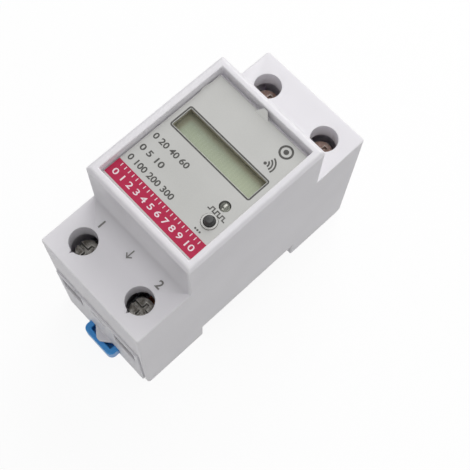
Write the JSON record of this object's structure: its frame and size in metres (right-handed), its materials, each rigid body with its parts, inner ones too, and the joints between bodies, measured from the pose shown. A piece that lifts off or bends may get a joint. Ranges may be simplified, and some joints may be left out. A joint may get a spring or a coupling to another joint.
{
  "type": "din rail energy meter",
  "caption": "Two-module rail-mounted energy meter and switch with a recessed display face, set button, screw terminals at both ends and a pull clip.",
  "frame": {"origin": "middle of the face that seats on the rail", "axes": "+X along the rail, +Y towards the IN terminals, +Z out of the front"},
  "size_m": [0.036, 0.0833, 0.067],
  "materials": {
    "housing": "satin moulded",
    "base": "satin moulded",
    "panel": "fine satin print",
    "window": "clear polished",
    "lcd": "grey-green liquid crystal",
    "white_plastic": "moulded",
    "black_plastic": "moulded",
    "button": "domed satin",
    "lamp": "diffused epoxy",
    "blue_plastic": "moulded",
    "steel": "dull nickel plate",
    "copper": "bright copper",
    "alloy": "resistance alloy",
    "winding": "enamelled wire",
    "iron": "soft iron",
    "ferrite": "sintered",
    "board": "solder mask",
    "yellow_plastic": "moulded",
    "blue_lacquer": "dipped",
    "can": "shrink sleeve",
    "brown_ceramic": "dipped",
    "gold": "gold flash"
  },
  "bodies": {
    "housing": {"front_cover": "housing", "rear_base": "base", "face_panel": "panel", "lcd_window": "window", "lcd_glass": "lcd", "lcd_frame": "white_plastic", "lcd_backlight": "white_plastic", "lcd_pins": "steel", "display_board": "board", "display_screws": "steel", "key_switch": "black_plastic", "indicator_led": "lamp", "neutral_bar": "copper", "line_in_bar": "copper", "line_out_bar": "copper", "current_shunt": "alloy", "fixed_contact": "copper", "relay_case": "black_plastic", "relay_lid": "black_plastic", "coil_bobbin": "white_plastic", "coil_winding": "winding", "coil_core": "iron", "coil_pins": "steel", "main_board": "board", "board_screws": "steel", "transformer_core": "ferrite", "transformer_coil": "yellow_plastic", "film_capacitor": "yellow_plastic", "supply_capacitors": "can", "varistor": "blue_lacquer", "fuse": "brown_ceramic", "board_chips": "black_plastic", "radio_module": "board", "radio_shield": "steel", "sense_leads": "steel", "header_strip": "black_plastic", "header_pins": "gold"},
    "clip": {"rail_clip": "blue_plastic"},
    "button": {"set_button": "button", "switch_plunger": "black_plastic"},
    "rotor": {"relay_rotor": "black_plastic"},
    "pusher": {"relay_pusher": "white_plastic"},
    "blade": {"contact_blade": "copper"},
    "line_out_screw": {"screw_line_out": "steel"},
    "line_out_cage": {"cage_line_out": "steel"},
    "neutral_out_screw": {"screw_neutral_out": "steel"},
    "neutral_out_cage": {"cage_neutral_out": "steel"},
    "line_in_screw": {"screw_line_in": "steel"},
    "line_in_cage": {"cage_line_in": "steel"},
    "neutral_in_screw": {"screw_neutral_in": "steel"},
    "neutral_in_cage": {"cage_neutral_in": "steel"}
  },
  "joints": [
    {"name": "button_press", "type": "slide", "parent": "housing", "child": "button", "axis": [0, 0, -1], "range_m": [0, 0.0004], "stiffness_N_per_m": 1500},
    {"name": "clip_pull", "type": "slide", "parent": "housing", "child": "clip", "axis": [0, -1, 0], "range_m": [0, 0.003]},
    {"name": "line_out_lift", "type": "slide", "parent": "housing", "child": "line_out_cage", "axis": [0, 0, 1], "range_m": [0, 0.0064]},
    {"name": "line_out_turn", "type": "hinge", "parent": "housing", "child": "line_out_screw", "pos_m": [-0.0105, -0.03195, 0.03], "axis": [0, 0, -1], "range_deg": [0, 2882]},
    {"name": "neutral_out_lift", "type": "slide", "parent": "housing", "child": "neutral_out_cage", "axis": [0, 0, 1], "range_m": [0, 0.0064]},
    {"name": "neutral_out_turn", "type": "hinge", "parent": "housing", "child": "neutral_out_screw", "pos_m": [0.0105, -0.03195, 0.03], "axis": [0, 0, -1], "range_deg": [0, 2882]},
    {"name": "line_in_lift", "type": "slide", "parent": "housing", "child": "line_in_cage", "axis": [0, 0, 1], "range_m": [0, 0.0064]},
    {"name": "line_in_turn", "type": "hinge", "parent": "housing", "child": "line_in_screw", "pos_m": [-0.0105, 0.03195, 0.03], "axis": [0, 0, -1], "range_deg": [0, 2882]},
    {"name": "neutral_in_lift", "type": "slide", "parent": "housing", "child": "neutral_in_cage", "axis": [0, 0, 1], "range_m": [0, 0.0064]},
    {"name": "neutral_in_turn", "type": "hinge", "parent": "housing", "child": "neutral_in_screw", "pos_m": [0.0105, 0.03195, 0.03], "axis": [0, 0, -1], "range_deg": [0, 2882]},
    {"name": "rotor_swing", "type": "hinge", "parent": "housing", "child": "rotor", "pos_m": [-0.0015, 0.0105, 0.01], "axis": [0, 0, -1], "range_deg": [0, 14]},
    {"name": "pusher_slide", "type": "slide", "parent": "housing", "child": "pusher", "axis": [1, 0, 0], "range_m": [0, 0.00146]},
    {"name": "blade_swing", "type": "hinge", "parent": "housing", "child": "blade", "pos_m": [-0.01125, -0.015, 0.008], "axis": [0, 0, -1], "range_deg": [0, 2.7]}
  ],
  "couplings": [
    {"joint": "line_out_turn", "follows": "line_out_lift", "rad_per_m": 7854},
    {"joint": "neutral_out_turn", "follows": "neutral_out_lift", "rad_per_m": 7854},
    {"joint": "line_in_turn", "follows": "line_in_lift", "rad_per_m": 7854},
    {"joint": "neutral_in_turn", "follows": "neutral_in_lift", "rad_per_m": 7854},
    {"joint": "rotor_swing", "follows": "pusher_slide", "rad_per_m": 166.67},
    {"joint": "blade_swing", "follows": "pusher_slide", "rad_per_m": 31.746}
  ]
}
